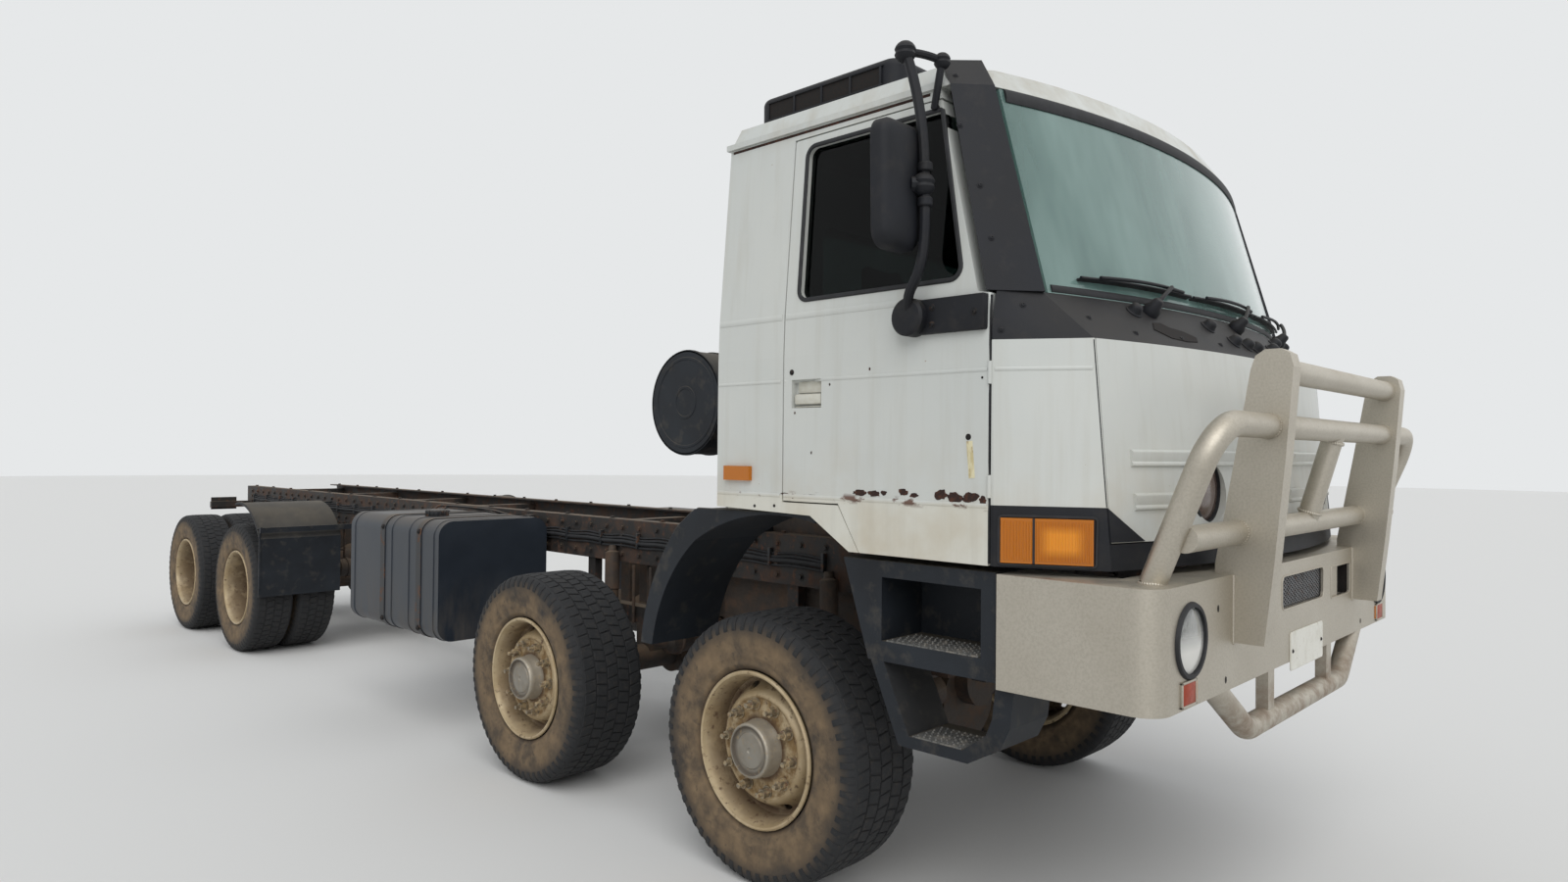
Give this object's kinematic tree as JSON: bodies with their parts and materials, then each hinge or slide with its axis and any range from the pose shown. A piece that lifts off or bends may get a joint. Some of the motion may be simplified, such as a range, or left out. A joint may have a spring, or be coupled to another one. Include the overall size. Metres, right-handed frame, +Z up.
{
  "type": "cab chassis truck",
  "caption": "Heavy off-road cab chassis truck with steered front axles, twin rear wheels, backbone tube, bare frame, tank, aluminium bumper and tubular bull bar.",
  "frame": {"origin": "on the ground below the middle of the truck's box", "axes": "+Z up, +Y towards the tail, the truck faces -Y and its right side is -X"},
  "size_m": [3.01, 9.97, 3.1],
  "materials": {
    "frame_paint": "old brown paint with rust and dust",
    "driveline_iron": "oily cast iron with road dirt",
    "tank_paint": "dark blue-black paint, dusty on top",
    "strap_steel": "dark satin paint",
    "dark_plastic": "weathered dark grey moulding",
    "bar_aluminium": "dull weathered aluminium",
    "lamp_glass": "ribbed clear lens",
    "amber_lens": "amber lens",
    "red_lens": "red lens",
    "cab_paint": "chalky off-white paint",
    "cabin_trim": "dark moulded trim",
    "seat_cloth": "dark woven cloth",
    "tinted_glass": "green-tinted glass",
    "rim_paint": "cream-silver paint with road dirt",
    "tyre_rubber": "worn rubber with brown dirt"
  },
  "bodies": {
    "chassis": {"air_cleaner": "dark_plastic", "air_tanks": "strap_steel", "amber_lamps": "amber_lens", "backbone_tube": "driveline_iron", "battery_box": "strap_steel", "bull_bar": "bar_aluminium", "bumper": "bar_aluminium", "cab_back": "cab_paint", "cab_floor": "cabin_trim", "cab_glass": "tinted_glass", "cab_mounts": "strap_steel", "cab_roof": "cab_paint", "cab_sides": "cab_paint", "crossmembers": "frame_paint", "dashboard": "cabin_trim", "engine_block": "driveline_iron", "frame_rails": "frame_paint", "front_panels": "cab_paint", "fuel_tank": "tank_paint", "half_axles": "driveline_iron", "headlamps": "lamp_glass", "lamp_surrounds": "dark_plastic", "leaf_springs": "driveline_iron", "lower_bar": "bar_aluminium", "mudguards": "dark_plastic", "pillar_trims": "dark_plastic", "roof_pod": "dark_plastic", "scuttle": "dark_plastic", "seats": "seat_cloth", "steering_wheel": "cabin_trim", "step_boxes": "dark_plastic", "tail_lamps": "red_lens", "tank_straps": "strap_steel", "tow_coupling": "driveline_iron"},
    "door_right": {"door_right": "cab_paint", "door_glass_right": "tinted_glass", "mirror_right": "dark_plastic"},
    "steering_right_1": {"knuckle_right_1": "driveline_iron"},
    "steering_right_2": {"knuckle_right_2": "driveline_iron"},
    "wheel_right_1": {"tyre_right_1": "tyre_rubber", "rim_right_1": "rim_paint"},
    "wheel_right_2": {"tyre_right_2": "tyre_rubber", "rim_right_2": "rim_paint"},
    "wheel_right_3": {"tyre_right_3": "tyre_rubber", "rim_right_3": "rim_paint"},
    "wheel_right_4": {"tyre_right_4": "tyre_rubber", "rim_right_4": "rim_paint"},
    "door_left": {"door_left": "cab_paint", "door_glass_left": "tinted_glass", "mirror_left": "dark_plastic"},
    "steering_left_1": {"knuckle_left_1": "driveline_iron"},
    "steering_left_2": {"knuckle_left_2": "driveline_iron"},
    "wheel_left_1": {"tyre_left_1": "tyre_rubber", "rim_left_1": "rim_paint"},
    "wheel_left_2": {"tyre_left_2": "tyre_rubber", "rim_left_2": "rim_paint"},
    "wheel_left_3": {"tyre_left_3": "tyre_rubber", "rim_left_3": "rim_paint"},
    "wheel_left_4": {"tyre_left_4": "tyre_rubber", "rim_left_4": "rim_paint"}
  },
  "joints": [
    {"name": "steer_right_1", "type": "hinge", "parent": "chassis", "child": "steering_right_1", "pos_m": [-0.95, -3.215, 0.518], "axis": [0, 0, 1], "range_deg": [-30, 30]},
    {"name": "steer_right_2", "type": "hinge", "parent": "chassis", "child": "steering_right_2", "pos_m": [-0.95, -1.565, 0.518], "axis": [0, 0, 1], "range_deg": [-20, 20]},
    {"name": "roll_right_1", "type": "hinge", "parent": "steering_right_1", "child": "wheel_right_1", "pos_m": [-1.0275, -3.215, 0.518], "axis": [1, 0, 0], "continuous": true},
    {"name": "roll_right_2", "type": "hinge", "parent": "steering_right_2", "child": "wheel_right_2", "pos_m": [-1.0275, -1.565, 0.518], "axis": [1, 0, 0], "continuous": true},
    {"name": "roll_right_3", "type": "hinge", "parent": "chassis", "child": "wheel_right_3", "pos_m": [-0.9, 2.845, 0.518], "axis": [1, 0, 0], "continuous": true},
    {"name": "roll_right_4", "type": "hinge", "parent": "chassis", "child": "wheel_right_4", "pos_m": [-0.9, 4.235, 0.518], "axis": [1, 0, 0], "continuous": true},
    {"name": "door_right_swing", "type": "hinge", "parent": "chassis", "child": "door_right", "pos_m": [-1.25, -4.287, 2.1], "axis": [0, 0, 1], "range_deg": [0, 70]},
    {"name": "steer_left_1", "type": "hinge", "parent": "chassis", "child": "steering_left_1", "pos_m": [0.95, -3.215, 0.518], "axis": [0, 0, 1], "range_deg": [-30, 30]},
    {"name": "steer_left_2", "type": "hinge", "parent": "chassis", "child": "steering_left_2", "pos_m": [0.95, -1.565, 0.518], "axis": [0, 0, 1], "range_deg": [-20, 20]},
    {"name": "roll_left_1", "type": "hinge", "parent": "steering_left_1", "child": "wheel_left_1", "pos_m": [1.0275, -3.215, 0.518], "axis": [1, 0, 0], "continuous": true},
    {"name": "roll_left_2", "type": "hinge", "parent": "steering_left_2", "child": "wheel_left_2", "pos_m": [1.0275, -1.565, 0.518], "axis": [1, 0, 0], "continuous": true},
    {"name": "roll_left_3", "type": "hinge", "parent": "chassis", "child": "wheel_left_3", "pos_m": [0.9, 2.845, 0.518], "axis": [1, 0, 0], "continuous": true},
    {"name": "roll_left_4", "type": "hinge", "parent": "chassis", "child": "wheel_left_4", "pos_m": [0.9, 4.235, 0.518], "axis": [1, 0, 0], "continuous": true},
    {"name": "door_left_swing", "type": "hinge", "parent": "chassis", "child": "door_left", "pos_m": [1.25, -4.287, 2.1], "axis": [0, 0, -1], "range_deg": [0, 70]}
  ],
  "couplings": [
    {"joint": "steer_left_1", "follows": "steer_right_1", "ratio": 1},
    {"joint": "steer_right_2", "follows": "steer_right_1", "ratio": 0.65},
    {"joint": "steer_left_2", "follows": "steer_right_1", "ratio": 0.65}
  ]
}
